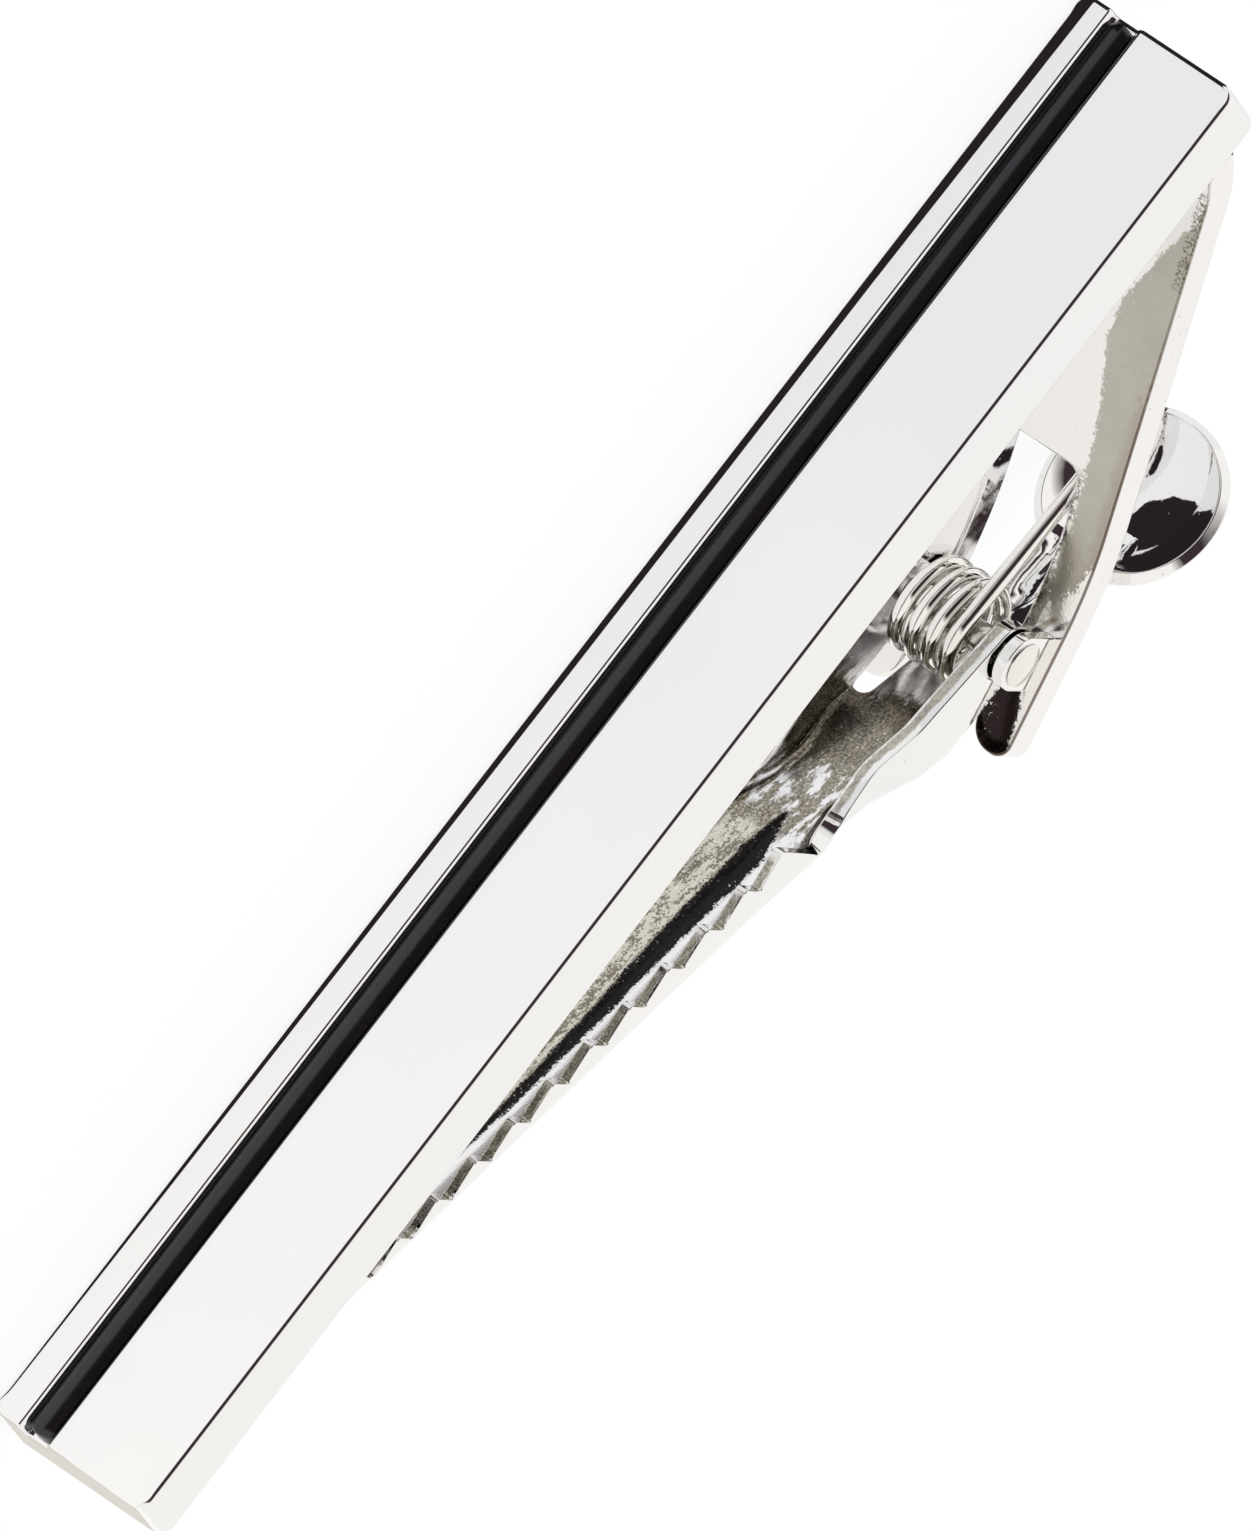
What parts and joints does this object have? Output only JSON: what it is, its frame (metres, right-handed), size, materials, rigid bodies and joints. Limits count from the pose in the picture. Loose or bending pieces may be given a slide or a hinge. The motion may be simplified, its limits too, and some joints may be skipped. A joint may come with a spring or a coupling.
{
  "type": "tie clip",
  "caption": "Chrome tie clip with a black enamel line, a forked arm and a sprung toothed jaw with a thumb pad.",
  "frame": {"origin": "middle of the box's base: the clip lies on one long side of the bar", "axes": "+X along the bar from the arm's end to the jaw's end, +Y from the front face of the bar to the back of the thumb pad, +Z across the bar's width"},
  "size_m": [0.055, 0.019, 0.0063],
  "materials": {
    "plated_bar": "polished rhodium-coloured plating, mirror bright",
    "black_enamel": "domed glossy black enamel",
    "plated_arm": "bright plating over a rolled strip, fine specks",
    "solder": "plated silver solder fillet",
    "plated_pin": "bright plating",
    "plated_lever": "bright plating over stamped sheet, slightly rippled",
    "spring_wire": "bright drawn spring wire"
  },
  "bodies": {
    "root": {"front_bar": "plated_bar", "enamel_stripe": "black_enamel", "clip_arm": "plated_arm", "braze_seam": "solder", "pivot_pin": "plated_pin", "torsion_spring": "spring_wire"},
    "lever": {"jaw_lever": "plated_lever"}
  },
  "joints": [
    {"name": "lever_pivot", "type": "hinge", "parent": "root", "child": "lever", "pos_m": [-0.0111, 0.0035, 0.00315], "axis": [0, 0, 1], "range_deg": [0, 25], "stiffness_Nm_per_rad": 0.04, "springref_deg": -28.65, "deforming": ["torsion_spring"]}
  ]
}
